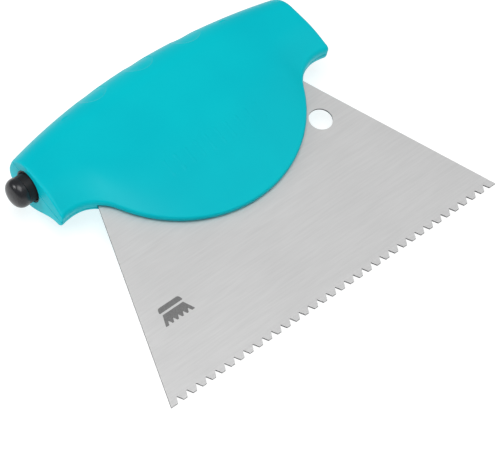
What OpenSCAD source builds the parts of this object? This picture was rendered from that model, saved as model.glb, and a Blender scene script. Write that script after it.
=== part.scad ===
// Notched trowel with a two-shell grip and a push-button blade lock.
// The tool is designed in its own plane: X along the toothed edge, Y from the
// teeth up to the grip, Z out of the blade's front face. lay() then tips it on
// its back, so that the tooth tips and the grip's belly rest on Z = 0.

/* [Blade] */
// Length of the toothed edge
blade_w = 180; // [160:5:220]
// Thickness of the steel sheet
blade_t = 0.8; // [0.6:0.1:1.0]
// Distance from one notch to the next
notch_pitch = 5; // [4:0.5:6]
// Width of a notch at the tooth tips
notch_gap = 3; // [2:0.1:3.5]
// Depth of a notch
notch_depth = 2.5; // [1.5:0.1:3]
// Width of the flat root of a notch
notch_root = 0.4; // [0.2:0.1:1]
// Width lost on each side per millimetre of height
side_slope = 0.39; // [0.35:0.01:0.4]
// Height of the shoulders where the tang begins
shoulder_y = 94; // [92:0.5:95]
// Width of the tang inside the grip
tang_w = 92; // [88:1:96]
// Height of the tang's top edge
tang_y = 108; // [107.5:0.1:108.2]
// Diameter of the hanging hole
hang_hole_d = 10.5; // [8:0.1:11]
// Hanging hole, distance to the right of the middle
hang_hole_x = 49.6; // [48:0.1:52]
// Hanging hole, height above the tooth tips
hang_hole_y = 67.7; // [60:0.1:69]

/* [Grip] */
// Offset of the grip to the right of the blade's middle
grip_shift = 1.2; // [0:0.1:2]
// Length of the grip at mid height
grip_len = 145.6; // [140:0.2:150]
// Height of the spine in the middle
spine_y = 137.3; // [136:0.1:140]
// Radius of the spine's curve, seen from the front
spine_r = 292; // [250:1:400]
// Height of the lobe's lowest point
lobe_y = 52.9; // [50:0.1:56]
// Radius of the lobe
lobe_r = 58; // [56:0.5:60]
// Centre of the finger hollow, distance from the grip's middle
hollow_x = 66.8; // [66:0.1:68]
// Centre of the finger hollow, height
hollow_y = 73.8; // [73:0.1:75]
// Front face height at the edge, at the grip's ends
front_edge_end = 3.6; // [3:0.1:4.5]
// Front face height at the edge of the lobe
front_edge_mid = 3.0; // [2.5:0.1:4]
// Front face height over the grip, at its ends
front_face_end = 7.0; // [6.5:0.1:8]
// Front face height over the grip, in the middle
front_face_mid = 8.0; // [7:0.1:9]
// Rear depth at the edge, at the tips
rear_edge_end = 4.2; // [3.5:0.1:5]
// Rear depth at the edge of the lobe
rear_edge_mid = 3.0; // [2.8:0.1:3.5]
// Rear depth of the belly, at the grip's ends
belly_end = 16.5; // [15.5:0.1:18]
// Rear depth of the belly, in the middle
belly_mid = 18.5; // [17:0.1:20]
// Depth of the crown, the widest line along the spine
crown_depth = 7; // [5:0.1:8]
// Radius of the shells' edges
edge_r = 2.2; // [1.6:0.1:2.4]

/* [Button and lock] */
// Height of the button's axis
button_y = 114.6; // [114:0.1:115.5]
// Depth of the button's axis behind the blade's front face
button_depth = 3.6; // [3:0.1:4]
// Diameter of the button's head
button_d = 13.2; // [12:0.1:13.2]
// How far the button stands out of the grip
button_out = 9.2; // [9:0.1:11]
// Travel of the button and the lock slide
travel = 6; // [4:0.5:6]
// Diameter of the plunger rod
rod_d = 5; // [4:0.1:5]
// Diameter of the spring wire
wire_d = 0.9; // [0.7:0.1:1]
// Turns of the return spring
spring_turns = 6; // [4:1:6]
// Diameter of the lock studs and the locating dowels
stud_d = 4; // [3:0.1:4]
// Thickness of the lock slide
slide_t = 1.6; // [1.2:0.1:1.8]

/* [Hidden] */
$fn = 64;
running = 0.07;        // radial clearance of a sliding pin
loose = 0.3;           // clearance beside a moving sheet part
parting_z = -blade_t / 2;
half_len = grip_len / 2;
taper = 0.00065;       // the end faces lean outwards towards the tips
taper_y = 110;
taper_stop_y = 90;
end_r = 1.6;           // rounding of the end faces
lobe_cy = lobe_y + lobe_r;
hollow_r = norm([hollow_x, hollow_y - lobe_cy]) - lobe_r;
tangent_x = lobe_r * hollow_x / (lobe_r + hollow_r);

button_x = -half_len;  // plane of the left end face at the button
bush_t = 3.4;          // length of the bush inside the end wall
bush_r = 7.5;
bush_flange_r = 8.6;
bush_flange_t = 1.4;
bush_recess = 0.3;     // the bush sits just below the end face
flange_x = button_x + bush_t + bush_flange_t;
button_flange_r = 8.2;
button_flange_t = 2;
neck_r = button_d / 2 - 0.4;
neck_out = 3.4;        // how far the neck stands out, below the cap
stub_r = 4.4;
stub_h = 3;
cap_round_r = 3;
cap_dome_r = 16;
rod_grip = 4;          // how far the rod reaches out into the button core
button_back_x = flange_x + button_flange_t;
web_x = -50;           // middle of the web that holds the rod bush
web_t = 3;
rod_bush_r = 4.5;
rod_bush_flange_r = 6;
rod_bush_flange_t = 1.2;
spring_seat_x = web_x - web_t / 2 - rod_bush_flange_t;
spring_r = 4.6;
lug_x = -41;           // plane of the lug's left face
lug_foot_y = 104.4;    // the lug is bent down from the slide between here and lug_y0
lug_y0 = 109.6;
lug_y1 = 119.8;
lug_z0 = -8.6;
lug_z1 = 1.4;
lug_room = 1;          // free space around the lug and the rod's end
clip_t = 0.8;
clip_r = 4.2;
groove_r = rod_d / 2 - 0.45;
rod_end_x = lug_x + slide_t + clip_t + 1.2;

slide_z = -2.9;        // rear face of the lock slide
slide_y0 = 96.7;
slide_y1 = 115.7;
slide_x1 = 43;
stud_x = [-34, 34];
stud_y = 102;
stud_top = 2;
rivet_r = 1.5;
rivet_head_r = 2.4;
rivet_head_h = 0.4;
dowel_x = [-14, 14];
dowel_y = 101.4;
dowel_z0 = -8;
dowel_z1 = 2.4;
guide_x = [-26, 26];
guide_y = 112;
guide_head_r = 3.2;
guide_head_h = 1.8;
guide_tip_z = -10;
washer_r = 3.8;
leaf_y = 86;
leaf_w = 8;
leaf_t = 0.4;
leaf_half = 22;
leaf_rise = 0.9;
leaf_floor_z = -2.2;

long_screws = [[-43, 125.2], [-15, 127], [15, 127], [43, 125.2]];
wing_screws = [[-62.5, 100.5], [62.5, 100.5]];
long_seat_z = -8.5;
wing_seat_z = -3.2;
screw_r = 1.45;
pilot_r = 1.5;
head_r = 2.8;
head_h = 1.9;
long_reach = 3;        // screw tips, in front of the blade plane
wing_reach = 3.2;
recess_w = 0.7;        // cross recess in the screw heads
recess_half = 1.6;
recess_depth = 1;

// Hollows inside the shells: a long one under the spine, a lower one over the tang
spine_wall = 8;
upper_x = 64;
upper_front_y = 104;
upper_front_z = 4.2;
upper_rear_y = 109;
upper_rear_z = -10.5;
lower_x0 = -44;
lower_x1 = 50;
lower_y = 96.2;
lower_front_z = 2.8;
lower_rear_z = -3.6;
far = 40;              // longer than any cut needs to be
web_y0 = 107.5;
web_y1 = 125.5;
pillar_r = 4.2;        // rear pillars around the long screws
boss_r = 3.8;
guide_boss_r = 4;

turquoise = [0.0, 0.72, 0.77];
steel = [0.78, 0.78, 0.77];
zinc = [0.68, 0.70, 0.72];
black = [0.10, 0.10, 0.11];
bronze = [0.78, 0.64, 0.35];
nylon = [0.86, 0.86, 0.83];

// Stations along the grip: close together over the rounded ends
ends = [for (a = [0, 30, 60, 90]) end_r * (1 - cos(a))];
stations = concat(
    [for (e = ends) -half_len + e],
    [for (k = [-13 : 13]) k * 5.2],
    [for (k = [3 : -1 : 0]) half_len - ends[k]]);

function smooth(t) = let (c = min(max(t, 0), 1)) c * c * (3 - 2 * c);
function mix(a, b, k) = a + (b - a) * k;
function middle(x) = 1 - smooth((abs(x) - 10) / 60);

// Outline of the grip, seen from the front
function spine(x) = spine_y - spine_r + sqrt(spine_r * spine_r - x * x);
function underside(x) = abs(x) < tangent_x
    ? lobe_cy - sqrt(lobe_r * lobe_r - x * x)
    : hollow_y + sqrt(hollow_r * hollow_r - pow(abs(x) - hollow_x, 2));

// Height of the front face and of the rear face at a point of the outline
function front_z(x, y) =
    let (
        m = middle(x),
        edge = mix(front_edge_end, front_edge_mid, m),
        face = mix(front_face_end, front_face_mid, m),
        v = (y - underside(x)) / (spine(x) - underside(x)) / mix(0.45, 0.55, m)
    ) edge + (face - edge) * sin(90 * min(max(v, 0), 1));
function rear_z(x, y) =
    let (
        m = middle(x),
        edge = mix(rear_edge_mid, rear_edge_end, smooth((abs(x) - 58) / 12)),
        belly = mix(belly_end, belly_mid, m),
        reach = 36 + 0.4 * (spine(x) - underside(x) - 36)
    ) -(edge + (belly - edge) * smooth((reach - spine(x) + y) / 23.4));
function face_z(x, y, side) = side > 0 ? front_z(x, y) : rear_z(x, y);

// Quarter ellipses that roll the faces over to the crown
function front_roll(x) = mix(12, 17, middle(x));
function rear_roll(x) = mix(13, 17, middle(x));
function front_roll_point(x, a) =
    let (w = front_roll(x), z = front_z(x, spine(x) - w))
    [spine(x) - w + w * sin(a), -crown_depth + (z + crown_depth) * cos(a)];
function rear_roll_point(x, a) =
    let (w = rear_roll(x), z = rear_z(x, spine(x) - w))
    [spine(x) - w + w * sin(a), -crown_depth + (z + crown_depth) * cos(a)];
function parting_angle(x) = acos((parting_z + crown_depth)
    / (front_z(x, spine(x) - front_roll(x)) + crown_depth));

// Outline of one shell's section at x, from the lower edge over to the spine
function shell_loop(x, side) =
    let (
        y0 = underside(x),
        z0 = face_z(x, y0 + edge_r, side),
        roll = side > 0 ? front_roll(x) : rear_roll(x),
        y1 = spine(x) - roll,
        split = parting_angle(x)
    ) concat(
        [[y0, parting_z], [y0, z0 - side * edge_r]],
        [for (a = [30 : 30 : 90]) [y0 + edge_r * (1 - cos(a)), z0 - side * edge_r * (1 - sin(a))]],
        [for (k = [1 : 10]) let (y = mix(y0 + edge_r, y1, k / 10)) [y, face_z(x, y, side)]],
        side > 0
            ? [for (k = [1 : 6]) front_roll_point(x, split * k / 6)]
            : concat(
                [for (k = [1 : 6]) rear_roll_point(x, 15 * k)],
                [for (k = [1 : 2]) front_roll_point(x, mix(90, split, k / 2))]));

// The loop drawn in towards the end faces, and leaned with their taper
function ring(x, side) =
    let (
        over = max(0, abs(x) - half_len + end_r),
        inset = end_r - sqrt(end_r * end_r - over * over),
        loop = shell_loop(x, side),
        top = spine(x)
    ) [for (p = loop)
        let (
            y = top - 0.6 * inset - (top - p[0]) * (1 - inset / 30),
            z = parting_z + (p[1] - parting_z) * (1 - inset / 8)
        ) [x * (1 + taper * (taper_y - max(y, taper_stop_y))), y, z]];

module loft(rings, side) {
    n = len(rings);
    m = len(rings[0]);
    sides = [for (i = [0 : n - 2], j = [0 : m - 1])
        let (a = i * m + j, b = i * m + (j + 1) % m, c = b + m, d = a + m)
        each side > 0 ? [[a, b, c], [a, c, d]] : [[a, c, b], [a, d, c]]];
    near = [for (j = [0 : m - 1]) side > 0 ? m - 1 - j : j];
    far = [for (j = [0 : m - 1]) (n - 1) * m + (side > 0 ? j : m - 1 - j)];
    polyhedron([for (r = rings) each r], concat(sides, [near, far]), convexity = 6);
}
module shell_solid(side) loft([for (x = stations) ring(x, side)], side);

// Angle at which the tool lies on its back, and the middle of its depth
lay_angle = max([for (y = [90 : 0.5 : 125]) atan2(-rear_z(0, y) - blade_t, y)]);
depth_mid = (spine_y * cos(lay_angle) + (crown_depth - blade_t) * sin(lay_angle)) / 2;
module lay() {
    translate([0, -depth_mid, 0])
        rotate([lay_angle, 0, 0])
            translate([0, 0, blade_t])
                children();
}
module in_grip() lay() translate([grip_shift, 0, 0]) children();

// Helpers for round features along Z and along the button's axis
module post(x, y, z0, z1, r) translate([x, y, z0]) cylinder(h = z1 - z0, r = r);
module along_button(x0, x1, r0, r1) {
    translate([x0, button_y, -button_depth])
        rotate([0, 90, 0])
            cylinder(h = x1 - x0, r1 = r0, r2 = r1);
}
module slot(x0, x1, y, r) {
    for (x = [x0, x1]) translate([x, y]) circle(r);
    translate([x0, y - r]) square([x1 - x0, 2 * r]);
}
module block(x0, x1, y0, y1, z0, z1) translate([x0, y0, z0]) cube([x1 - x0, y1 - y0, z1 - z0]);

// Blade
function half_w(y) = blade_w / 2 - side_slope * y;
module blade_outline(grow) {
    polygon([
        [-half_w(0) - grow, 0], [half_w(0) + grow, 0],
        [half_w(shoulder_y) + grow, shoulder_y + grow], [tang_w / 2 + grow, shoulder_y + grow],
        [tang_w / 2 + grow, tang_y + grow], [-tang_w / 2 - grow, tang_y + grow],
        [-tang_w / 2 - grow, shoulder_y + grow], [-half_w(shoulder_y) - grow, shoulder_y + grow]]);
}
module notches() {
    count = floor(blade_w / notch_pitch) - 1;
    for (k = [0 : count - 1])
        translate([(k - (count - 1) / 2) * notch_pitch, 0])
            polygon([
                [-notch_gap / 2, -1], [notch_gap / 2, -1], [notch_gap / 2, 0],
                [notch_root / 2, notch_depth], [-notch_root / 2, notch_depth], [-notch_gap / 2, 0]]);
}
module lock_cut(x) {
    r = stud_d / 2 + loose;
    slot(x, x + travel, stud_y, r);
    translate([x + travel - r, stud_y]) square([2 * r, tang_y - stud_y + 1]);
}
module dowel_cut(x) {
    r = stud_d / 2 + 0.1;
    translate([x, dowel_y]) circle(r);
    translate([x - r, dowel_y]) square([2 * r, tang_y - dowel_y + 1]);
}
module blade() lay() color(steel) {
    translate([0, 0, -blade_t]) linear_extrude(blade_t) difference() {
        blade_outline(0);
        notches();
        translate([hang_hole_x, hang_hole_y]) circle(d = hang_hole_d);
        translate([grip_shift, 0]) {
            for (x = stud_x) lock_cut(x);
            for (x = dowel_x) dowel_cut(x);
        }
    }
}

// Hollow for the lock, open at the parting plane
module cavity(x0, x1, y0, z0, z1) {
    translate([0, 0, z0]) linear_extrude(z1 - z0) intersection() {
        translate([x0, y0]) square([x1 - x0, far]);
        translate([0, spine_y - spine_r]) circle(spine_r - spine_wall, $fn = 180);
    }
}
module blade_pocket() {
    translate([-grip_shift, 0, -blade_t]) linear_extrude(blade_t) blade_outline(loose);
}
module button_ways() {
    along_button(button_x - 2, button_x + bush_t, bush_r, bush_r);
    along_button(button_x + bush_t, web_x - web_t / 2, bush_flange_r + 0.1, bush_flange_r + 0.1);
}
module rod_web(z0, z1) {
    difference() {
        block(web_x - web_t / 2, web_x + web_t / 2, web_y0, web_y1, z0, z1);
        along_button(web_x - web_t, web_x + web_t, rod_bush_r, rod_bush_r);
    }
}
module front_shell() in_grip() color(turquoise) {
    difference() {
        union() {
            difference() {
                shell_solid(1);
                cavity(-upper_x, upper_x, upper_front_y, parting_z - 1, upper_front_z);
                cavity(lower_x0, lower_x1, lower_y, parting_z - 1, lower_front_z);
                button_ways();
            }
            rod_web(parting_z, upper_front_z + 0.2);
            for (p = long_screws) post(p[0], p[1], parting_z, upper_front_z + 0.2, boss_r);
            for (x = dowel_x) post(x, dowel_y, 0, lower_front_z + 0.2, boss_r);
        }
        blade_pocket();
        for (p = long_screws) post(p[0], p[1], parting_z - 1, long_reach + 0.2, pilot_r);
        for (p = wing_screws) post(p[0], p[1], parting_z - 1, wing_reach + 0.2, pilot_r);
        for (x = dowel_x) post(x, dowel_y, parting_z - 1, dowel_z1 + 0.1, stud_d / 2 + 0.02);
    }
}
module rear_shell() in_grip() color(turquoise) {
    difference() {
        union() {
            difference() {
                shell_solid(-1);
                cavity(-upper_x, upper_x, upper_rear_y, upper_rear_z, parting_z + 1);
                cavity(lower_x0, lower_x1, lower_y, lower_rear_z, parting_z + 1);
                block(lug_x - lug_room, lug_x + slide_t + travel + lug_room,
                    lug_foot_y - lug_room, lug_y0, lug_z0 - lug_room, parting_z + 1);
                button_ways();
            }
            rod_web(upper_rear_z - 1, parting_z);
            for (p = long_screws) post(p[0], p[1], upper_rear_z - 3, parting_z, pillar_r);
            for (x = guide_x) post(x, guide_y, upper_rear_z - 1.5, slide_z - loose, guide_boss_r);
            for (x = dowel_x) post(x, dowel_y, lower_rear_z - 1, slide_z - loose, guide_boss_r);
        }
        blade_pocket();
        for (p = long_screws) {
            post(p[0], p[1], long_seat_z - 1, parting_z + 1, screw_r + 0.25);
            post(p[0], p[1], -far, long_seat_z, head_r + 0.3);
        }
        for (p = wing_screws) {
            post(p[0], p[1], wing_seat_z - 1, parting_z + 1, screw_r + 0.25);
            post(p[0], p[1], -far, wing_seat_z, head_r + 0.3);
        }
        for (x = guide_x) post(x, guide_y, guide_tip_z - 0.2, 0, pilot_r);
        for (x = dowel_x) post(x, dowel_y, dowel_z0 - 0.1, 0, stud_d / 2 + 0.02);
        translate([0, 0, leaf_floor_z]) linear_extrude(2) slot(-leaf_half, leaf_half, leaf_y, leaf_w / 2 + 0.6);
    }
}

// Push button: a moulded core with a stop flange, and a domed rubber cap on its stub
module turned(x) {
    translate([x, button_y, -button_depth]) rotate([0, -90, 0]) rotate_extrude() children();
}
module button_core() in_grip() color(black) {
    inner = bush_t + bush_flange_t;
    difference() {
        turned(button_x) {
            translate([0, -inner - button_flange_t]) square([button_flange_r, button_flange_t]);
            translate([0, -inner - 0.1]) square([neck_r, inner + 0.1 + neck_out]);
            translate([0, neck_out - 0.1]) square([stub_r, stub_h + 0.1]);
        }
        along_button(button_x - rod_grip, button_back_x + 1, rod_d / 2, rod_d / 2);
    }
}
module button_cap() in_grip() color(black) {
    r = button_d / 2;
    turned(button_x) difference() {
        intersection() {
            union() {
                translate([0, neck_out]) square([r, button_out - cap_round_r - neck_out]);
                translate([r - cap_round_r, button_out - cap_round_r]) circle(cap_round_r);
                translate([0, button_out - cap_round_r]) square([r - cap_round_r, cap_round_r]);
            }
            translate([0, button_out - cap_dome_r]) circle(cap_dome_r);
            square(button_out);
        }
        square([stub_r, neck_out + stub_h]);
    }
}
module button_bush() in_grip() color(black) {
    difference() {
        union() {
            along_button(button_x + bush_recess, button_x + bush_t, bush_r, bush_r);
            along_button(button_x + bush_t, flange_x, bush_flange_r, bush_flange_r);
        }
        along_button(button_x - 1, flange_x + 1, button_d / 2 + running, button_d / 2 + running);
    }
}
module plunger_rod() in_grip() color(steel) {
    difference() {
        along_button(button_x - rod_grip, rod_end_x, rod_d / 2, rod_d / 2);
        for (x = [lug_x - clip_t, lug_x + slide_t]) difference() {
            along_button(x, x + clip_t, rod_d, rod_d);
            along_button(x - 1, x + clip_t + 1, groove_r, groove_r);
        }
    }
}
module rod_bush() in_grip() color(bronze) {
    difference() {
        union() {
            along_button(web_x - web_t / 2, web_x + web_t / 2, rod_bush_r, rod_bush_r);
            along_button(spring_seat_x, web_x - web_t / 2, rod_bush_flange_r, rod_bush_flange_r);
        }
        along_button(web_x - 5, web_x + 5, rod_d / 2 + running, rod_d / 2 + running);
    }
}
module return_spring() in_grip() color(steel) {
    steps = 14;
    x0 = button_back_x + wire_d / 2;
    pitch = (spring_seat_x - button_back_x - wire_d) / spring_turns;
    path = [for (k = [0 : steps * spring_turns])
        let (a = 360 * k / steps) [x0 + pitch * k / steps, spring_r * cos(a), spring_r * sin(a)]];
    rings = [for (p = path) [for (b = [0 : 60 : 300])
        let (grow = 1 + wire_d / 2 * cos(b) / spring_r)
        [p[0] + wire_d / 2 * sin(b), p[1] * grow, p[2] * grow]]];
    translate([0, button_y, -button_depth]) loft(rings, -1);
}
module retaining_clips() in_grip() color(zinc) {
    for (x = [lug_x - clip_t, lug_x + slide_t]) difference() {
        along_button(x + 0.05, x + clip_t - 0.05, clip_r, clip_r);
        along_button(x - 1, x + clip_t + 1, groove_r + 0.03, groove_r + 0.03);
        block(x - 1, x + clip_t + 1, button_y - 1.5, button_y + 1.5, -button_depth - 6, -button_depth);
    }
}

// Lock slide: a steel strip with a bent lug, guide slots and two studs
module lock_slide() in_grip() color(zinc) {
    difference() {
        union() {
            block(lug_x, slide_x1, slide_y0, slide_y1, slide_z, slide_z + slide_t);
            block(lug_x, lug_x + slide_t, lug_foot_y, lug_y1, lug_z0, slide_z + slide_t);
            block(lug_x, lug_x + slide_t, lug_y0, lug_y1, lug_z0, lug_z1);
        }
        block(lug_x + slide_t, rod_end_x + lug_room, lug_y0, lug_y1, slide_z - 1, lug_z1);
        along_button(lug_x - 1, lug_x + slide_t + 1, rod_d / 2 + 0.02, rod_d / 2 + 0.02);
        translate([0, 0, slide_z - 1]) linear_extrude(slide_t + 2) {
            for (x = guide_x) slot(x - travel, x, guide_y, stud_d / 2 + running);
            for (x = dowel_x) slot(x - travel, x, dowel_y, stud_d / 2 + loose);
            for (x = stud_x) translate([x, stud_y]) circle(rivet_r);
        }
    }
}
module lock_studs() in_grip() color(steel) {
    for (x = stud_x) {
        post(x, stud_y, slide_z + slide_t, stud_top, stud_d / 2);
        post(x, stud_y, slide_z, slide_z + slide_t, rivet_r);
        post(x, stud_y, slide_z - rivet_head_h, slide_z, rivet_head_r);
    }
}
module locating_dowels() in_grip() color(steel) {
    for (x = dowel_x) post(x, dowel_y, dowel_z0, dowel_z1, stud_d / 2);
}
module guide_screws() in_grip() color(zinc) {
    head_z = slide_z + slide_t + 0.15;
    for (x = guide_x) difference() {
        union() {
            post(x, guide_y, guide_tip_z, slide_z - loose, screw_r);
            post(x, guide_y, slide_z - loose, head_z, stud_d / 2);
            post(x, guide_y, head_z, head_z + guide_head_h, guide_head_r);
        }
        block(x - 4, x + 4, guide_y - 0.4, guide_y + 0.4, head_z + 0.9, head_z + 3);
    }
}
module tension_leaf() in_grip() color(steel) {
    arc_r = (leaf_half * leaf_half + leaf_rise * leaf_rise) / (2 * leaf_rise);
    top_z = -blade_t - 0.02;
    translate([0, leaf_y + leaf_w / 2, top_z - leaf_t - arc_r]) rotate([90, 0, 0]) linear_extrude(leaf_w)
        intersection() {
            difference() {
                circle(arc_r + leaf_t, $fn = 360);
                circle(arc_r, $fn = 360);
            }
            translate([-leaf_half, 0]) square([2 * leaf_half, 2 * arc_r]);
        }
}

module guide_washers() in_grip() color(nylon) {
    for (x = guide_x) difference() {
        post(x, guide_y, slide_z - loose, slide_z - 0.05, washer_r);
        post(x, guide_y, slide_z - 1, slide_z + 1, stud_d / 2 + 0.05);
    }
}

// Pan-head screw with a cross recess, driven from the rear
module shell_screw(seat, reach) {
    difference() {
        union() {
            post(0, 0, seat, reach, screw_r);
            post(0, 0, seat - head_h, seat, head_r);
        }
        for (a = [0, 90]) rotate(a)
            block(-recess_half, recess_half, -recess_w / 2, recess_w / 2, seat - far, seat - head_h + recess_depth);
    }
}
module shell_screws() in_grip() color(zinc) {
    for (p = long_screws) translate([p[0], p[1], 0]) shell_screw(long_seat_z, long_reach);
}
module wing_screw_pair() in_grip() color(zinc) {
    for (p = wing_screws) translate([p[0], p[1], 0]) shell_screw(wing_seat_z, wing_reach);
}

blade();
front_shell();
rear_shell();
button_core();
button_cap();
button_bush();
plunger_rod();
rod_bush();
return_spring();
retaining_clips();
lock_slide();
lock_studs();
locating_dowels();
guide_screws();
guide_washers();
tension_leaf();
shell_screws();
wing_screw_pair();  // wing_screws
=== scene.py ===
import math

import bmesh
import bpy
import numpy as np
from mathutils import Matrix, Vector


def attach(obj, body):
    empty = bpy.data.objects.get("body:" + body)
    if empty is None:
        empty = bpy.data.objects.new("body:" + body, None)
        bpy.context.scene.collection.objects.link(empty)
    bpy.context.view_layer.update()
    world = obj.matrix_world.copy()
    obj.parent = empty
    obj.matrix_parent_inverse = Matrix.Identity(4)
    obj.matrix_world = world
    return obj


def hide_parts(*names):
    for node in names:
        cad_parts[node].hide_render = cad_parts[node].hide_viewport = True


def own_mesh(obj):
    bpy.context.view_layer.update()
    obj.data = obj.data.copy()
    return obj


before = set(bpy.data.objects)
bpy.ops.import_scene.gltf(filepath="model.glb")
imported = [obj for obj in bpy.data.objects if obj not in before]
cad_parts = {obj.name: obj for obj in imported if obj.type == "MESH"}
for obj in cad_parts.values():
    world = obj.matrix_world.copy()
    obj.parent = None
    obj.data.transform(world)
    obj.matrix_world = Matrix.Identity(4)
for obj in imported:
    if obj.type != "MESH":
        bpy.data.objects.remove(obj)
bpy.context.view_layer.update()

# Dimensions in millimetres, in the tool's own plane: X along the toothed edge, Y from the teeth up
# to the grip's spine, Z out of the blade's front face. The grip's pieces are shifted by GRIP_SHIFT.
BLADE_W, BLADE_T = 180, 0.8
NOTCH_PITCH, NOTCH_GAP, NOTCH_DEPTH, NOTCH_ROOT = 5, 3, 2.5, 0.4
SIDE_SLOPE, SHOULDER_Y, TANG_W, TANG_Y = 0.39, 94, 92, 108
HANG_HOLE_D, HANG_HOLE_X, HANG_HOLE_Y = 10.5, 49.6, 67.7
MARK_X, MARK_Y = -60.9, 33.2

GRIP_SHIFT, GRIP_LEN = 1.2, 145.6
SPINE_Y, SPINE_R = 137.3, 292
LOBE_Y, LOBE_R = 52.9, 58
HOLLOW_X, HOLLOW_Y = 66.8, 73.8
FRONT_EDGE_END, FRONT_EDGE_MID = 3.6, 3.0
FRONT_FACE_END, FRONT_FACE_MID = 7.0, 8.0
REAR_EDGE_END, REAR_EDGE_MID = 4.2, 3.0
BELLY_END, BELLY_MID = 16.5, 18.5
# How far out the middle's shape holds, and over what length it fades into the ends' shape
MIDDLE_HALF, MIDDLE_FADE = 10, 60
FACE_RISE_END, FACE_RISE_MID = 0.45, 0.55   # share of the grip's height over which its face rises
TIP_X, TIP_LEN = 58, 12                # where the rear edge thickens towards the tips
# Where the belly ends below the spine, how that grows with the grip's height, and its slope's length
BELLY_REACH, BELLY_STRETCH, BELLY_RAMP = 36, 0.4, 23.4
CROWN_DEPTH, EDGE_R_END, EDGE_R_MID, END_R = 7, 2.3, 1.0, 1.6
END_DROP, END_DRAW_Y, END_DRAW_Z = 0.6, 30, 15     # how the rounded ends draw in
TAPER, TAPER_Y, TAPER_STOP_Y = 0.00065, 110, 90    # the end faces lean outwards towards the tips
SEAM_DEPTH, SEAM_HALF = 0.45, 0.25     # groove along the parting line
EXIT_HALF = 55.8                       # half the width of the blade where it leaves the lobe
EXIT_GAP_FRONT, EXIT_GAP_REAR = (1.0, 1.0), (0.9, 0.6)   # groove beside the blade there: depth, half height

ROLL_R = 15.5                          # mean radius of the front roll
DIMPLE_X, DIMPLE_ALONG, DIMPLE_R, DIMPLE_DEPTH = (-25.5, 0.3, 26.1), 13.8, 7.0, 0.28
RIB_X, RIB_Y, RIB_HALF, RIB_R = np.linspace(-24, 26, 10), 83.5, 3.6, 0.7

BUTTON_Y, BUTTON_DEPTH, BUTTON_D, BUTTON_OUT = 114.6, 3.6, 13.2, 9.2
BUSH_T, BUSH_R, BUSH_FLANGE_R, BUSH_FLANGE_T, BUSH_RECESS = 3.4, 7.5, 8.6, 1.4, 0.3
NECK_R, NECK_OUT, STUB_R, STUB_H, CAP_DOME_R, CAP_ROUND_R = 6.35, 3.4, 4.4, 3, 16, 3.8
BUTTON_FLANGE_R, BUTTON_FLANGE_T = 8.2, 2
ROD_R, ROD_GRIP = 2.5, 4
WEB_X, WEB_T, ROD_BUSH_R, ROD_BUSH_FLANGE_T = -50, 3, 4.5, 1.2
WIRE_D, SPRING_R, SPRING_TURNS = 0.9, 4.6, 6
STUD_R, STUD_X, STUD_Y, TRAVEL = 2, (-34, 34), 102, 6
DOWEL_X, DOWEL_Y, DOWEL_Z = (-14, 14), 101.4, (-8, 2.4)
GUIDE_X, GUIDE_Y, GUIDE_TIP_Z, SLIDE_Z, SLIDE_T = (-26, 26), 112, -10, -2.9, 1.6
LUG_X, LUG_FOOT_Y, LUG_Y0, LUG_Z0, LUG_ROOM = -41, 104.4, 109.6, -8.6, 1
LEAF_HALF, LEAF_Y, LEAF_W, LEAF_ROOM, LEAF_FLOOR_Z = 22, 86, 8, 0.6, -2.2
LONG_SCREWS = ((-43, 125.2), (-15, 127), (15, 127), (43, 125.2))
WING_SCREWS = ((-62.5, 100.5), (62.5, 100.5))
LONG_SEAT_Z, WING_SEAT_Z, LONG_REACH, WING_REACH = -8.5, -3.2, 3, 3.2
SCREW_R, PILOT_R, HEAD_R, HEAD_H, THREAD_PITCH, THREAD_DEPTH = 1.45, 1.5, 2.8, 1.9, 1.1, 0.36
POINT_SHARE, POINT_LEN = 0.55, 1.5     # the screw's tip: its share of the radius, and its length
RECESS_HALF, RECESS_W, RECESS_DEPTH = 1.6, 0.7, 1

# Clearances: of a sliding pin, beside a moving sheet, of a pressed pin, of a pin in a slot of the
# blade, of a bush's flange, of a screw's shank and head, and past a screw's or a pin's end
RUNNING, LOOSE, PRESSED, SLOT_ROOM, FLANGE_ROOM = 0.07, 0.3, 0.02, 0.1, 0.1
SHANK_ROOM, HEAD_ROOM, SCREW_END_ROOM, PIN_END_ROOM = 0.25, 0.3, 0.2, 0.1

# The lock's hollows: an upper one under the spine and a lower one over the tang
SPINE_WALL = 8
UPPER_X, UPPER_FRONT_Y, UPPER_FRONT_Z, UPPER_REAR_Y, UPPER_REAR_Z = 64, 104, 4.2, 109, -10.5
LOWER_X, LOWER_Y, LOWER_FRONT_Z, LOWER_REAR_Z = (-44, 50), 96.2, 2.8, -3.6

# What stands in the hollows. Each Z is where the piece ends, inside the shell's wall.
WEB_Y, WEB_FRONT_Z, WEB_REAR_Z = (107.5, 125.5), 4.4, -11.5
BOSS_R, PILLAR_R, PILLAR_Z = 3.8, 4.2, -13.5
GUIDE_BOSS_R, GUIDE_BOSS_Z = 4, -12
DOWEL_BOSS_FRONT_Z, DOWEL_BOSS_REAR_Z = 3, -4.6

# How far cutters reach: past the faces that they cut, out of the grip's rear, through the blade
OVERLAP, FAR, THROUGH_BLADE = 1, 40, (-2, 1)
NOTCH_FLARE = 0.6                      # how much a notch's cutter widens on each side, at its outer end

PARTING_Z = -BLADE_T / 2
HALF_LEN = GRIP_LEN / 2
BUTTON_X = -HALF_LEN
FLANGE_X = BUTTON_X + BUSH_T + BUSH_FLANGE_T
LOBE_CY = LOBE_Y + LOBE_R
HOLLOW_R = math.hypot(HOLLOW_X, HOLLOW_Y - LOBE_CY) - LOBE_R
TANGENT_X = LOBE_R * HOLLOW_X / (LOBE_R + HOLLOW_R)
FRONT, REAR = 1, -1
ROLL_END, ROLL_MID = {FRONT: 12, REAR: 13}, 17


# Shape of the grip: the CAD part's, with finer steps and a sharper edge around the lobe

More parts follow.
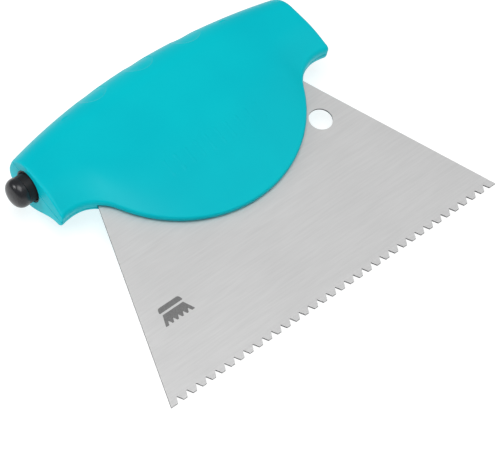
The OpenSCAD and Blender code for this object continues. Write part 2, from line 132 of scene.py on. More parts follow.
def smooth(t):
    c = np.clip(t, 0, 1)
    return c * c * (3 - 2 * c)


def mix(a, b, k):
    return a + (b - a) * k


def middle(x):
    """1 in the middle of the grip, falling to 0 towards its ends."""
    return 1 - smooth((np.abs(x) - MIDDLE_HALF) / MIDDLE_FADE)


def spine(x):
    return SPINE_Y - SPINE_R + np.sqrt(SPINE_R**2 - x**2)


def underside(x):
    lobe = LOBE_CY - np.sqrt(np.maximum(LOBE_R**2 - x**2, 0))
    hollow = HOLLOW_Y + np.sqrt(np.maximum(HOLLOW_R**2 - (np.abs(x) - HOLLOW_X)**2, 0))
    return np.where(np.abs(x) < TANGENT_X, lobe, hollow)


def front_z(x, y):
    m = middle(x)
    edge = mix(FRONT_EDGE_END, FRONT_EDGE_MID, m)
    face = mix(FRONT_FACE_END, FRONT_FACE_MID, m)
    v = (y - underside(x)) / (spine(x) - underside(x)) / mix(FACE_RISE_END, FACE_RISE_MID, m)
    return edge + (face - edge) * np.sin(math.pi / 2 * np.clip(v, 0, 1))


def rear_z(x, y):
    m = middle(x)
    edge = mix(REAR_EDGE_MID, REAR_EDGE_END, smooth((np.abs(x) - TIP_X) / TIP_LEN))
    belly = mix(BELLY_END, BELLY_MID, m)
    reach = BELLY_REACH + BELLY_STRETCH * (spine(x) - underside(x) - BELLY_REACH)
    return -(edge + (belly - edge) * smooth((reach - spine(x) + y) / BELLY_RAMP))


def roll_width(x, side):
    return mix(ROLL_END[side], ROLL_MID, middle(x))


def roll(x, angle, side):
    """Point of the quarter ellipse that rolls a face over to the crown, as y and z."""
    width = roll_width(x, side)
    face = front_z if side == FRONT else rear_z
    z = face(x, spine(x) - width)
    y = spine(x) - width + width * np.sin(angle)
    return y, -CROWN_DEPTH + (z + CROWN_DEPTH) * np.cos(angle)


def parting_angle(x):
    """Angle on the front roll at which the two shells meet."""
    face = front_z(x, spine(x) - roll_width(x, FRONT))
    return np.arccos((PARTING_Z + CROWN_DEPTH) / (face + CROWN_DEPTH))


def section(x, side):
    """A shell's outline at the stations x, a column, from the underside over the face to the spine."""
    y0, face = underside(x), front_z if side == FRONT else rear_z
    radius = mix(EDGE_R_END, EDGE_R_MID, middle(x))
    z0 = face(x, y0 + radius)
    wall = np.linspace(0, 1, 4)[:-1]
    arc = np.radians(np.linspace(0, 90, 9))
    across = mix(y0 + radius, spine(x) - roll_width(x, side), np.linspace(0, 1, 45)[1:])
    split = parting_angle(x)
    parts = [
        (y0 + 0 * wall, mix(PARTING_Z, z0 - side * radius, wall)),
        (y0 + radius * (1 - np.cos(arc)), z0 - side * radius * (1 - np.sin(arc))),
        (across, face(x, across))]
    if side == FRONT:
        parts.append(roll(x, split * np.linspace(0, 1, 19)[1:], FRONT))
    else:
        parts.append(roll(x, np.radians(np.linspace(0, 90, 21)[1:]), REAR))
        parts.append(roll(x, mix(np.pi / 2, split, np.linspace(0, 1, 8)[1:]), FRONT))
    return [np.concatenate(axis, axis=1) for axis in zip(*parts)]


def leaned(x, y):
    """The x of a point once the end faces lean outwards towards the tips."""
    return x * (1 + TAPER * (TAPER_Y - np.maximum(y, TAPER_STOP_Y)))


def shell_grid(side):
    """Points of a shell's outer surface, [station, point, xyz], drawn in towards the end faces."""
    end = END_R * (1 - np.cos(np.radians(np.linspace(0, 90, 9))))
    body = np.linspace(-HALF_LEN + END_R, HALF_LEN - END_R, 161)[1:-1]
    x = np.concatenate([end - HALF_LEN, body, (HALF_LEN - end)[::-1]])[:, None]
    y, z = section(x, side)
    over = np.maximum(0, np.abs(x) - HALF_LEN + END_R)
    inset = END_R - np.sqrt(np.maximum(END_R**2 - over**2, 0))
    y = spine(x) - END_DROP * inset - (spine(x) - y) * (1 - inset / END_DRAW_Y)
    z = PARTING_Z + (z - PARTING_Z) * (1 - inset / END_DRAW_Z)
    return np.stack([leaned(x, y), y, z], axis=-1)


# The tool lies on its tooth tips and its belly, centred over the origin

LAY_ANGLE = max(math.atan2(-rear_z(0, y) - BLADE_T, y) for y in np.arange(90, 125.1, 0.5))
DEPTH_MID = (SPINE_Y * math.cos(LAY_ANGLE) + (CROWN_DEPTH - BLADE_T) * math.sin(LAY_ANGLE)) / 2
LAY = (Matrix.Scale(0.001, 4) @ Matrix.Translation((0, -DEPTH_MID, 0))
       @ Matrix.Rotation(LAY_ANGLE, 4, "X") @ Matrix.Translation((0, 0, BLADE_T)))
IN_GRIP = LAY @ Matrix.Translation((GRIP_SHIFT, 0, 0))


# Mesh helpers

def new_object(name, vertices, faces):
    """A closed mesh object with its doubled points merged and its faces looking outwards."""
    mesh = bpy.data.meshes.new(name)
    mesh.from_pydata([tuple(map(float, v)) for v in vertices], [], [list(map(int, f)) for f in faces])
    shape = bmesh.new()
    shape.from_mesh(mesh)
    bmesh.ops.remove_doubles(shape, verts=shape.verts, dist=1e-5)
    bmesh.ops.delete(shape, geom=[e for e in shape.edges if not e.link_faces], context="EDGES")
    bmesh.ops.recalc_face_normals(shape, faces=shape.faces)
    shape.to_mesh(mesh)
    shape.free()
    obj = bpy.data.objects.new(name, mesh)
    bpy.context.scene.collection.objects.link(obj)
    return obj


def loops_object(name, loops, closed=False):
    """Joins point loops of equal length into a tube, capped at both ends or closed on itself."""
    count, width = len(loops), len(loops[0])
    faces = []
    for i in range(count if closed else count - 1):
        for j in range(width):
            k, near, far = (j + 1) % width, i * width, (i + 1) % count * width
            faces.append((near + j, near + k, far + k, far + j))
    if not closed:
        faces.append(range(width))
        faces.append(range((count - 1) * width, count * width))
    return new_object(name, np.concatenate([np.asarray(loop, float) for loop in loops]), faces)


def prism(outline, z0, z1):
    """A flat outline raised from z0 to z1."""
    return loops_object("cut", [[(x, y, z) for x, y in outline] for z in (z0, z1)])


def block(x0, x1, y0, y1, z0, z1):
    return prism([(x0, y0), (x1, y0), (x1, y1), (x0, y1)], z0, z1)


def slot_outline(x0, x1, y, r, steps=24):
    """A slot along X with round ends, or a circle if x0 and x1 are the same."""
    right = np.radians(np.linspace(-90, 90, steps))
    points = [(x1 + r * math.cos(a), y + r * math.sin(a)) for a in right]
    points += [(x0 - r * math.cos(a), y - r * math.sin(a)) for a in right]
    return points


def revolved(name, profile, place, segments=96):
    """Turns a closed profile of (radius, height) about Z and moves it by the matrix place."""
    turn = np.linspace(0, 2 * math.pi, segments, endpoint=False)
    loops = [[(r * math.cos(a), r * math.sin(a), h) for r, h in profile] for a in turn]
    obj = loops_object(name, loops, closed=True)
    obj.data.transform(place)
    return obj


def post(x, y, z0, z1, r):
    profile = [(0, z0), (r, z0), (r, z1), (0, z1)]
    return revolved("cut", profile, Matrix.Translation((x, y, 0)), segments=64)


def on_button_axis(x):
    """Places a turned piece with its height pointing out of the grip's left end, from plane x."""
    return Matrix.Translation((x, BUTTON_Y, -BUTTON_DEPTH)) @ Matrix.Rotation(-math.pi / 2, 4, "Y")


def along_button(x0, x1, r):
    """A cylinder on the button's axis, from x0 to x1."""
    return revolved("cut", [(0, 0), (r, 0), (r, x1 - x0), (0, x1 - x0)], on_button_axis(x1))


def rounded(corners, steps=6):
    """An outline whose corners (x, y, radius) are rounded, each with its own radius."""
    points = []
    for i, (x, y, radius) in enumerate(corners):
        here = Vector((x, y))
        if not radius:
            points.append(here)
            continue
        before = (Vector(corners[i - 1][:2]) - here).normalized()
        after = (Vector(corners[(i + 1) % len(corners)][:2]) - here).normalized()
        half = before.angle(after) / 2
        centre = here + (before + after).normalized() * radius / math.sin(half)
        start = here + before * radius / math.tan(half) - centre
        sweep = math.pi - 2 * half
        turn = 1 if before.x * after.y - before.y * after.x < 0 else -1
        for k in range(steps + 1):
            a = turn * sweep * k / steps
            points.append(centre + Vector((start.x * math.cos(a) - start.y * math.sin(a),
                                           start.x * math.sin(a) + start.y * math.cos(a))))
    return points


def applied(obj):
    """Makes the object's modifiers permanent."""
    evaluated = obj.evaluated_get(bpy.context.evaluated_depsgraph_get())
    mesh = bpy.data.meshes.new_from_object(evaluated)
    obj.modifiers.clear()
    obj.data = mesh
    return obj


def carve(obj, steps):
    """Cuts or joins solids, in order: steps are pairs of "DIFFERENCE" or "UNION" and a solid."""
    for operation, tool in steps:
        modifier = obj.modifiers.new("carve", "BOOLEAN")
        modifier.solver = "MANIFOLD"
        modifier.operation = operation
        modifier.object = tool
    applied(obj)
    for _, tool in steps:
        bpy.data.objects.remove(tool)
    return obj


def joined(name, pieces):
    """Puts several solids into one piece."""
    shape = bmesh.new()
    for piece in pieces:
        shape.from_mesh(piece.data)
    mesh = bpy.data.meshes.new(name)
    shape.to_mesh(mesh)
    shape.free()
    for piece in pieces:
        bpy.data.objects.remove(piece)
    obj = bpy.data.objects.new(name, mesh)
    bpy.context.scene.collection.objects.link(obj)
    return obj


def cut(*tools):
    return [("DIFFERENCE", tool) for tool in tools]


def join(*tools):
    return [("UNION", tool) for tool in tools]


def finished(obj, body, material, place, nodes=(), sharp=32):
    """Moves a piece into the frame, shades it, ties it to its body, and hides the CAD nodes it stands for.
    """
    obj.data.transform(place)
    obj.data.materials.clear()
    obj.data.materials.append(material)
    obj.data.polygons.foreach_set("use_smooth", [True] * len(obj.data.polygons))
    obj.data.set_sharp_from_angle(angle=math.radians(sharp))
    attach(obj, body)
    if nodes:
        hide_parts(*nodes)
    return obj


# Materials

def new_material(name, slot, **sockets):
    """A Principled material with constant sockets. Patterns are added by the functions below."""
    material = bpy.data.materials.new(name)
    material.use_nodes = True
    material["slot"] = slot
    shader = material.node_tree.nodes["Principled BSDF"]
    for socket, value in sockets.items():
        shader.inputs[socket.replace("_", " ")].default_value = value
    return material


def noise(material, scale, detail=3.0, stretch=(1, 1, 1)):
    """A noise pattern in the object's coordinates, in metres; stretch scales them first."""
    tree = material.node_tree
    coordinates = tree.nodes.new("ShaderNodeTexCoord")
    mapping = tree.nodes.new("ShaderNodeMapping")
    mapping.inputs["Scale"].default_value = stretch
    texture = tree.nodes.new("ShaderNodeTexNoise")
    texture.inputs["Scale"].default_value = scale
    texture.inputs["Detail"].default_value = detail
    tree.links.new(coordinates.outputs["Object"], mapping.inputs["Vector"])
    tree.links.new(mapping.outputs["Vector"], texture.inputs["Vector"])
    return texture.outputs["Fac"]


def blend_noise(material, a, b, share):
    """Mixes two patterns, with share of the second."""
    node = material.node_tree.nodes.new("ShaderNodeMix")
    node.inputs["Factor"].default_value = share
    material.node_tree.links.new(a, node.inputs["A"])
    material.node_tree.links.new(b, node.inputs["B"])
    return node.outputs["Result"]


def colour_from(material, pattern, dark, light, low=0.35, high=0.65):
    """Colours the surface between two colours as the pattern goes from low to high."""
    tree = material.node_tree
    ramp = tree.nodes.new("ShaderNodeValToRGB")
    for element, place, colour in zip(ramp.color_ramp.elements, (low, high), (dark, light)):
        element.position = place
        element.color = (*colour, 1)
    tree.links.new(pattern, ramp.inputs["Fac"])
    tree.links.new(ramp.outputs["Color"], tree.nodes["Principled BSDF"].inputs["Base Color"])


def roughness_from(material, pattern, least, most):
    tree = material.node_tree
    span = tree.nodes.new("ShaderNodeMapRange")
    span.inputs["From Min"].default_value = 0.3
    span.inputs["From Max"].default_value = 0.7
    span.inputs["To Min"].default_value = least
    span.inputs["To Max"].default_value = most
    tree.links.new(pattern, span.inputs["Value"])
    tree.links.new(span.outputs["Result"], tree.nodes["Principled BSDF"].inputs["Roughness"])


def bump_from(material, pattern, height_mm, strength=1.0):
    tree = material.node_tree
    bump = tree.nodes.new("ShaderNodeBump")
    bump.inputs["Strength"].default_value = strength
    bump.inputs["Distance"].default_value = height_mm / 1000
    tree.links.new(pattern, bump.inputs["Height"])
    tree.links.new(bump.outputs["Normal"], tree.nodes["Principled BSDF"].inputs["Normal"])


def turquoise_plastic():
    material = new_material("turquoise_plastic", "turquoise_plastic", Specular_IOR_Level=0.08)
    clouds = noise(material, 28, 2.0)
    grain = noise(material, 2600, 2.0)
    colour_from(material, clouds, (0.0, 0.51, 0.60), (0.0, 0.545, 0.625))
    roughness_from(material, blend_noise(material, clouds, grain, 0.5), 0.30, 0.40)
    bump_from(material, grain, 0.012, 0.35)
    return material


def blade_steel():
    material = new_material("blade_steel", "blade_steel", Metallic=0.75)
    lines = noise(material, 1, 4.0, (70, 1200, 1200))
    clouds = noise(material, 24, 3.0)
    both = blend_noise(material, lines, clouds, 0.35)
    colour_from(material, both, (0.65, 0.65, 0.65), (0.725, 0.725, 0.725), 0.3, 0.7)
    roughness_from(material, both, 0.48, 0.56)
    bump_from(material, lines, 0.006, 0.3)
    return material


def shaded_edge_steel():
    """The blade's narrow edges, rougher, with painted shade: a darker steel that stands in for the shade on
    them.
    """
    material = new_material("blade_edge_painted_shade", "blade_steel", Metallic=0.85)
    grain = noise(material, 1400, 3.0)
    colour_from(material, grain, (0.10, 0.10, 0.105), (0.19, 0.19, 0.195))
    roughness_from(material, grain, 0.5, 0.7)
    bump_from(material, grain, 0.010, 0.4)
    return material


def plain_metal(name, dark, light, least, most, stretch=(60, 600, 600)):
    material = new_material(name, name, Metallic=1.0)
    lines = noise(material, 1, 4.0, stretch)
    clouds = noise(material, 160, 3.0)
    colour_from(material, blend_noise(material, lines, clouds, 0.5), dark, light)
    roughness_from(material, lines, least, most)
    bump_from(material, lines, 0.008, 0.4)
    return material


def black_polymer(name, shade, least, most, shine):
    material = new_material(name, name, Specular_IOR_Level=shine)
    clouds = noise(material, 220, 3.0)
    grain = noise(material, 3200, 2.0)
    darker = tuple(0.75 * channel for channel in shade)
    colour_from(material, clouds, darker, shade)
    roughness_from(material, blend_noise(material, clouds, grain, 0.5), least, most)
    bump_from(material, grain, 0.010, 0.4)
    return material


def print_ink():
    material = new_material("print_ink", "black_plastic", Specular_IOR_Level=0.3)
    grain = noise(material, 1800, 3.0)
    colour_from(material, grain, (0.165, 0.165, 0.165), (0.215, 0.215, 0.215))
    roughness_from(material, grain, 0.5, 0.7)
    bump_from(material, grain, 0.006, 0.5)
    return material


def white_nylon():
    material = new_material("white_nylon", "white_nylon", Subsurface_Weight=0.1)
    grain = noise(material, 1500, 2.0)
    colour_from(material, grain, (0.74, 0.73, 0.69), (0.82, 0.81, 0.78))
    roughness_from(material, grain, 0.45, 0.6)
    bump_from(material, grain, 0.01, 0.4)
    return material


turquoise = turquoise_plastic()
steel = blade_steel()
# painted shade: a dark steel for the blade's narrow edges
painted_edge_shade = shaded_edge_steel()
rubber = black_polymer("black_rubber", (0.015, 0.016, 0.020), 0.22, 0.32, 0.5)
plastic = black_polymer("black_plastic", (0.016, 0.016, 0.018), 0.40, 0.52, 0.25)
bright = plain_metal("bright_steel", (0.55, 0.55, 0.56), (0.66, 0.66, 0.66), 0.22, 0.36)
spring_steel = plain_metal("spring_steel", (0.36, 0.37, 0.39), (0.50, 0.51, 0.53), 0.28, 0.42)
zinc = plain_metal("zinc_steel", (0.50, 0.53, 0.56), (0.64, 0.66, 0.68), 0.24, 0.42, (400, 400, 400))
bronze = plain_metal("bronze", (0.48, 0.32, 0.14), (0.62, 0.44, 0.22), 0.35, 0.5, (900, 900, 900))
nylon = white_nylon()
ink = print_ink()


# Relief on the grip

def on_roll(x, along):
    """Point of the front roll at a distance along it, counted from the face."""
    y, z = roll(x, along / ROLL_R, FRONT)
    return np.array([x, y, z])


def on_face(x, y):
    return np.array([x, y, front_z(x, y)])


def pad(surface, u, v, radius, half_length, levels):
    """A closed pad on a surface, with a round or slot-shaped outline: levels are pairs of the
    distance in from the outline and the height above the surface, from the lid to the floor."""
    loops = []
    for inward, height in levels:
        loop = []
        for a in np.linspace(0, 2 * math.pi, 48, endpoint=False):
            du = (radius - inward) * math.cos(a)
            dv = (radius - inward) * math.sin(a) + math.copysign(half_length, math.sin(a))
            here = surface(u + du, v + dv)
            step = 0.01
            normal = np.cross(surface(u + du + step, v + dv) - here, surface(u + du, v + dv + step) - here)
            loop.append(here + normal / np.linalg.norm(normal) * height)
        loops.append(loop)
    return loops_object("pad", loops)


def dimples():
    """Tools for the three shallow round grip marks on the spine."""
    floor = [(inward, -DIMPLE_DEPTH) for inward in (6.7, 5.2, 3.7, 2.2, 0.9)]
    rim = [(0.45, -0.7 * DIMPLE_DEPTH), (0.1, -0.1 * DIMPLE_DEPTH), (-0.1, 0.2)]
    levels = floor + rim + [(-0.1, 1.5), (6.7, 1.5)]
    return [pad(on_roll, x, DIMPLE_ALONG, DIMPLE_R, 0, levels) for x in DIMPLE_X]


def face_ribs():
    """The row of low ribs across the front face."""
    levels = [(0.6, -1), (0, -1), (0, -0.02), (0.2, 0.03), (0.45, 0.06), (0.6, 0.065)]
    return [pad(on_face, x, RIB_Y, RIB_R, RIB_HALF, levels) for x in RIB_X]


# Shells

def wedge(path, closed, z, depth, half_height):
    """A V-shaped cutter for a groove along a path at height z, with the grip on the path's left."""
    margin = 0.6
    before = np.roll(path, 1, axis=0)
    after = np.roll(path, -1, axis=0)
    if not closed:
        before[0], after[-1] = path[0], path[-1]
    along = after - before
    along /= np.linalg.norm(along, axis=1)[:, None]
    inwards = np.stack([-along[:, 1], along[:, 0]], axis=1)
    spread = half_height * (depth + margin) / depth
    inner, outer = path + inwards * depth, path - inwards * margin
    loops = [[(*a, z), (*b, z + spread), (*b, z - spread)] for a, b in zip(inner, outer)]
    return loops_object("cut", loops, closed)


def hollow(x0, x1, y0, z0, z1):
    """One of the lock's hollows, bounded by an arc inside the spine."""
    radius = SPINE_R - SPINE_WALL
    arc = [(x, SPINE_Y - SPINE_R + math.sqrt(radius**2 - x**2)) for x in np.linspace(x1, x0, 40)]
    return prism([(x0, y0), (x1, y0), *arc], z0, z1)


def blade_pocket():
    g = LOOSE
    half = [(BLADE_W / 2 + g, 0), (BLADE_W / 2 - SIDE_SLOPE * SHOULDER_Y + g, SHOULDER_Y + g),
            (TANG_W / 2 + g, SHOULDER_Y + g), (TANG_W / 2 + g, TANG_Y + g)]
    outline = half + [(-x, y) for x, y in half[::-1]]
    return prism([(x - GRIP_SHIFT, y) for x, y in outline], -BLADE_T, 0)


def shell(name, side, steps):
    """One grip shell: its outer surface, end faces and mating face, then the steps that carve it.
    An end face hangs from the surface's last row down to the parting plane, in upright strips."""
    grid = shell_grid(side)
    stations, width = grid.shape[:2]
    index = np.arange(stations * width).reshape(stations, width)
    points = list(grid.reshape(-1, 3))
    faces = [(index[i, j], index[i, j + 1], index[i + 1, j + 1], index[i + 1, j])
             for i in range(stations - 1) for j in range(width - 1)]
    ends = []
    for row, end_x in ((index[-1], HALF_LEN), (index[0], -HALF_LEN)):
        y = np.minimum([points[k][1] for k in row], points[row[-1]][1])
        start = int(np.argmax(y > y[0] + 1e-6))
        chain = [row[0], len(points)]
        points.append((leaned(end_x, y[start]), y[start], PARTING_Z))
        faces.append([*row[:start + 1], chain[-1]])
        for j in range(start + 1, width):
            below = chain[-1]
            if y[j] > y[j - 1] + 1e-6:
                chain.append(len(points))
                points.append((leaned(end_x, y[j]), y[j], PARTING_Z))
            corners = [row[j - 1], row[j], chain[-1], below]
            faces.append(list(dict.fromkeys(corners)))
        ends.append(chain)
    mating = list(index[:, 0]) + ends[0][1:] + list(index[::-1, -1])[1:] + ends[1][:0:-1]
    faces.append(mating)
    obj = new_object(name, points, faces)
    return carve(obj, steps)


def seam_path():
    """The parting outline as a list of points, counter-clockwise."""
    grid = shell_grid(FRONT)
    right, left = grid[-1], grid[0]
    lower = grid[:, 0, :2]
    upper = grid[::-1, -1, :2]
    rise = np.linspace(0, 1, 40)[1:-1, None]
    up = [right[0, :2] + (right[-1, :2] - right[0, :2]) * rise]
    down = [left[-1, :2] + (left[0, :2] - left[-1, :2]) * rise]
    return np.concatenate([lower, *up, upper, *down])


def button_ways():
    """Tools for the bush's hole in the end wall and the room behind it."""
    back = WEB_X - WEB_T / 2
    return [along_button(BUTTON_X - 4 * OVERLAP, BUTTON_X + BUSH_T, BUSH_R),
            along_button(BUTTON_X + BUSH_T, back, BUSH_FLANGE_R + FLANGE_ROOM)]


def exit_groove(z, depth, half_height):
    """Tool for the groove beside the blade, where it comes out of the lobe."""
    x = np.linspace(-EXIT_HALF - GRIP_SHIFT, EXIT_HALF - GRIP_SHIFT, 160)
    return wedge(np.stack([x, underside(x)], axis=1), False, z, depth, half_height)


def web(z0, z1):
    """The wall across the hollow that holds the rod bush."""
    wall = block(WEB_X - WEB_T / 2, WEB_X + WEB_T / 2, *WEB_Y, z0, z1)
    return carve(wall, cut(along_button(WEB_X - WEB_T, WEB_X + WEB_T, ROD_BUSH_R)))


def seam_groove():
    return wedge(seam_path(), True, PARTING_Z, SEAM_DEPTH, SEAM_HALF)


def pilot_holes(screws, reach):
    return [post(x, y, PARTING_Z - OVERLAP, reach + SCREW_END_ROOM, PILOT_R) for x, y in screws]


def screw_ways(screws, seat):
    """Tools for the rear shell's screw holes and their counterbores."""
    tools = []
    for x, y in screws:
        tools.append(post(x, y, seat - OVERLAP, PARTING_Z + OVERLAP, SCREW_R + SHANK_ROOM))
        tools.append(post(x, y, -FAR, seat, HEAD_R + HEAD_ROOM))
    return tools


def lug_pocket():
    """Room in the rear shell for the slide's lug and its travel."""
    x0, x1 = LUG_X - LUG_ROOM, LUG_X + SLIDE_T + TRAVEL + LUG_ROOM
    return block(x0, x1, LUG_FOOT_Y - LUG_ROOM, LUG_Y0, LUG_Z0 - LUG_ROOM, PARTING_Z + OVERLAP)


def leaf_pocket():
    outline = slot_outline(-LEAF_HALF, LEAF_HALF, LEAF_Y, LEAF_W / 2 + LEAF_ROOM)
    return prism(outline, LEAF_FLOOR_Z, PARTING_Z + OVERLAP)


def front_shell():
    back = PARTING_Z - OVERLAP
    return shell("grip_front", FRONT, [
        *join(*face_ribs()),
        *cut(*dimples(), seam_groove(), exit_groove(0, *EXIT_GAP_FRONT)),
        *cut(hollow(-UPPER_X, UPPER_X, UPPER_FRONT_Y, back, UPPER_FRONT_Z)),
        *cut(hollow(*LOWER_X, LOWER_Y, back, LOWER_FRONT_Z), *button_ways()),
        *join(web(PARTING_Z, WEB_FRONT_Z)),
        *join(*[post(x, y, PARTING_Z, WEB_FRONT_Z, BOSS_R) for x, y in LONG_SCREWS]),
        *join(*[post(x, DOWEL_Y, 0, DOWEL_BOSS_FRONT_Z, BOSS_R) for x in DOWEL_X]),
        *cut(blade_pocket()),
        *cut(*pilot_holes(LONG_SCREWS, LONG_REACH), *pilot_holes(WING_SCREWS, WING_REACH)),
        *cut(*[post(x, DOWEL_Y, back, DOWEL_Z[1] + PIN_END_ROOM, STUD_R + PRESSED) for x in DOWEL_X])])


def rear_shell():
    front, post_top = PARTING_Z + OVERLAP, SLIDE_Z - LOOSE
    return shell("grip_rear", REAR, [
        *cut(*dimples(), seam_groove(), exit_groove(-BLADE_T, *EXIT_GAP_REAR)),
        *cut(hollow(-UPPER_X, UPPER_X, UPPER_REAR_Y, UPPER_REAR_Z, front)),
        *cut(hollow(*LOWER_X, LOWER_Y, LOWER_REAR_Z, front)),
        *cut(lug_pocket(), *button_ways()),
        *join(web(WEB_REAR_Z, PARTING_Z)),
        *join(*[post(x, y, PILLAR_Z, PARTING_Z, PILLAR_R) for x, y in LONG_SCREWS]),
        *join(*[post(x, GUIDE_Y, GUIDE_BOSS_Z, post_top, GUIDE_BOSS_R) for x in GUIDE_X]),
        *join(*[post(x, DOWEL_Y, DOWEL_BOSS_REAR_Z, post_top, GUIDE_BOSS_R) for x in DOWEL_X]),
        *cut(blade_pocket(), *screw_ways(LONG_SCREWS, LONG_SEAT_Z), *screw_ways(WING_SCREWS, WING_SEAT_Z)),
        *cut(*[post(x, GUIDE_Y, GUIDE_TIP_Z - SCREW_END_ROOM, 0, PILOT_R) for x in GUIDE_X]),
        *cut(*[post(x, DOWEL_Y, DOWEL_Z[0] - PIN_END_ROOM, 0, STUD_R + PRESSED) for x in DOWEL_X]),
        *cut(leaf_pocket())])


finished(front_shell(), "grip", turquoise, IN_GRIP, ["front_shell"], sharp=40)
finished(rear_shell(), "grip", turquoise, IN_GRIP, ["rear_shell"], sharp=40)


# Blade

def notch_tools():
    """Wedges for the notches, which reach past the toothed edge."""
    count = BLADE_W // NOTCH_PITCH - 1
    mouth, root = NOTCH_GAP / 2 + NOTCH_FLARE, NOTCH_ROOT / 2
    tools = []
    for k in range(count):
        x = (k - (count - 1) / 2) * NOTCH_PITCH
        outline = [
            (x - mouth, -OVERLAP), (x + mouth, -OVERLAP), (x + root, NOTCH_DEPTH), (x - root, NOTCH_DEPTH)]
        tools.append(prism(outline, *THROUGH_BLADE))
    return tools


def blade():
    half = [(BLADE_W / 2, 0), (BLADE_W / 2 - SIDE_SLOPE * SHOULDER_Y, SHOULDER_Y),
            (TANG_W / 2, SHOULDER_Y), (TANG_W / 2, TANG_Y)]
    sheet = prism(half + [(-x, y) for x, y in half[::-1]], -BLADE_T, 0)
    top = TANG_Y + OVERLAP
    tools = notch_tools()
    hole = slot_outline(HANG_HOLE_X, HANG_HOLE_X, HANG_HOLE_Y, HANG_HOLE_D / 2, steps=48)
    tools.append(prism(hole, *THROUGH_BLADE))
    for x in np.array(STUD_X) + GRIP_SHIFT:
        r = STUD_R + LOOSE
        tools.append(prism(slot_outline(x, x + TRAVEL, STUD_Y, r), *THROUGH_BLADE))
        tools.append(block(x + TRAVEL - r, x + TRAVEL + r, STUD_Y, top, *THROUGH_BLADE))
    for x in np.array(DOWEL_X) + GRIP_SHIFT:
        r = STUD_R + SLOT_ROOM
        tools.append(prism(slot_outline(x, x, DOWEL_Y, r), *THROUGH_BLADE))
        tools.append(block(x - r, x + r, DOWEL_Y, top, *THROUGH_BLADE))
    carve(sheet, cut(*tools))
    edge = sheet.modifiers.new("edge", "BEVEL")
    edge.width = 0.06
    edge.segments = 2
    edge.limit_method = "ANGLE"
    edge.angle_limit = math.radians(50)
    applied(sheet)
    sheet.name = "toothed_blade"
    return sheet


def paint_shade_on_edges(sheet):
    """Paints shade on the sheet's narrow edges, its faces nearly square to the front, by giving them the
    darker edge material.
    """
    sheet.data.materials.append(painted_edge_shade)
    front = (LAY.to_3x3() @ Vector((0, 0, 1))).normalized()
    nearly_square = 0.3
    for face in sheet.data.polygons:
        face.material_index = int(abs(face.normal.dot(front)) < nearly_square)


# the blade, with painted shade on its narrow edges
paint_shade_on_edges(finished(blade(), "grip", steel, LAY, ["blade"], sharp=3))


def notch_mark():
    """A printed symbol of a notched trowel: a rounded grip over a blade with five notches."""
    bottom, top, foot, head = 7.7, 5.4, -4.2, 0.9
    notches, half_gap, depth = 5, 0.9, 1.9
    pitch = 2 * bottom / (notches + 1)
    teeth = []
    for k in range(notches):
        x = (k - (notches - 1) / 2) * pitch
        teeth += [(x - half_gap, foot, 0.15), (x, foot + depth, 0.2), (x + half_gap, foot, 0.15)]
    blade_part = [(-bottom, foot, 0.2), *teeth, (bottom, foot, 0.2), (top, head, 0.3), (-top, head, 0.3)]
    low, high = (6.2, 1.9), (5.4, 4.3)
    grip_part = [(-low[0], low[1], 0.4), (*low, 0.4), (*high, 1.2), (-high[0], high[1], 1.2)]
    parts = []
    for corners, steps in ((blade_part, 4), (grip_part, 6)):
        outline = [(x + MARK_X, y + MARK_Y) for x, y in rounded(corners, steps)]
        parts.append(prism(outline, -0.01, 0.03))
    return joined("notch_mark", parts)


finished(notch_mark(), "grip", ink, LAY)


# Push button

def button_cap():
    side, top = BUTTON_D / 2, BUTTON_OUT

    def dome_h(r):
        return top - CAP_DOME_R + math.sqrt(CAP_DOME_R**2 - r**2)

    dome = [(r, dome_h(r), 0) for r in np.linspace(0, side - CAP_ROUND_R - 0.4, 8)]
    corners = dome + [
        (side, dome_h(side), CAP_ROUND_R), (side, NECK_OUT, 0.4), (STUB_R, NECK_OUT, 0),
        (STUB_R, NECK_OUT + STUB_H, 0), (0, NECK_OUT + STUB_H, 0)]
    return revolved("button_rubber_cap", rounded(corners, 12), on_button_axis(BUTTON_X))


def button_core():
    back = -BUSH_T - BUSH_FLANGE_T - BUTTON_FLANGE_T
    flange = back + BUTTON_FLANGE_T
    corners = [
        (ROD_R, back, 0.3), (BUTTON_FLANGE_R, back, 0.4), (BUTTON_FLANGE_R, flange, 0.4),
        (NECK_R, flange, 0.3), (NECK_R, NECK_OUT, 0.4), (STUB_R, NECK_OUT, 0),
        (STUB_R, NECK_OUT + STUB_H, 0.3), (0, NECK_OUT + STUB_H, 0), (0, ROD_GRIP, 0), (ROD_R, ROD_GRIP, 0)]
    return revolved("button_neck", rounded(corners), on_button_axis(BUTTON_X))


def button_bush():
    bore = BUTTON_D / 2 + RUNNING
    back = -BUSH_T - BUSH_FLANGE_T
    corners = [
        (bore, -BUSH_RECESS, 0.15), (bore, back, 0.2), (BUSH_FLANGE_R, back, 0.3),
        (BUSH_FLANGE_R, -BUSH_T, 0.1), (BUSH_R, -BUSH_T, 0), (BUSH_R, -BUSH_RECESS, 0.15)]
    return revolved("button_bush_ring", rounded(corners), on_button_axis(BUTTON_X))


finished(button_cap(), "button", rubber, IN_GRIP, ["button_cap"], sharp=50)
finished(button_core(), "button", plastic, IN_GRIP, ["button_core"], sharp=50)
finished(button_bush(), "grip", plastic, IN_GRIP, ["button_bush"], sharp=50)


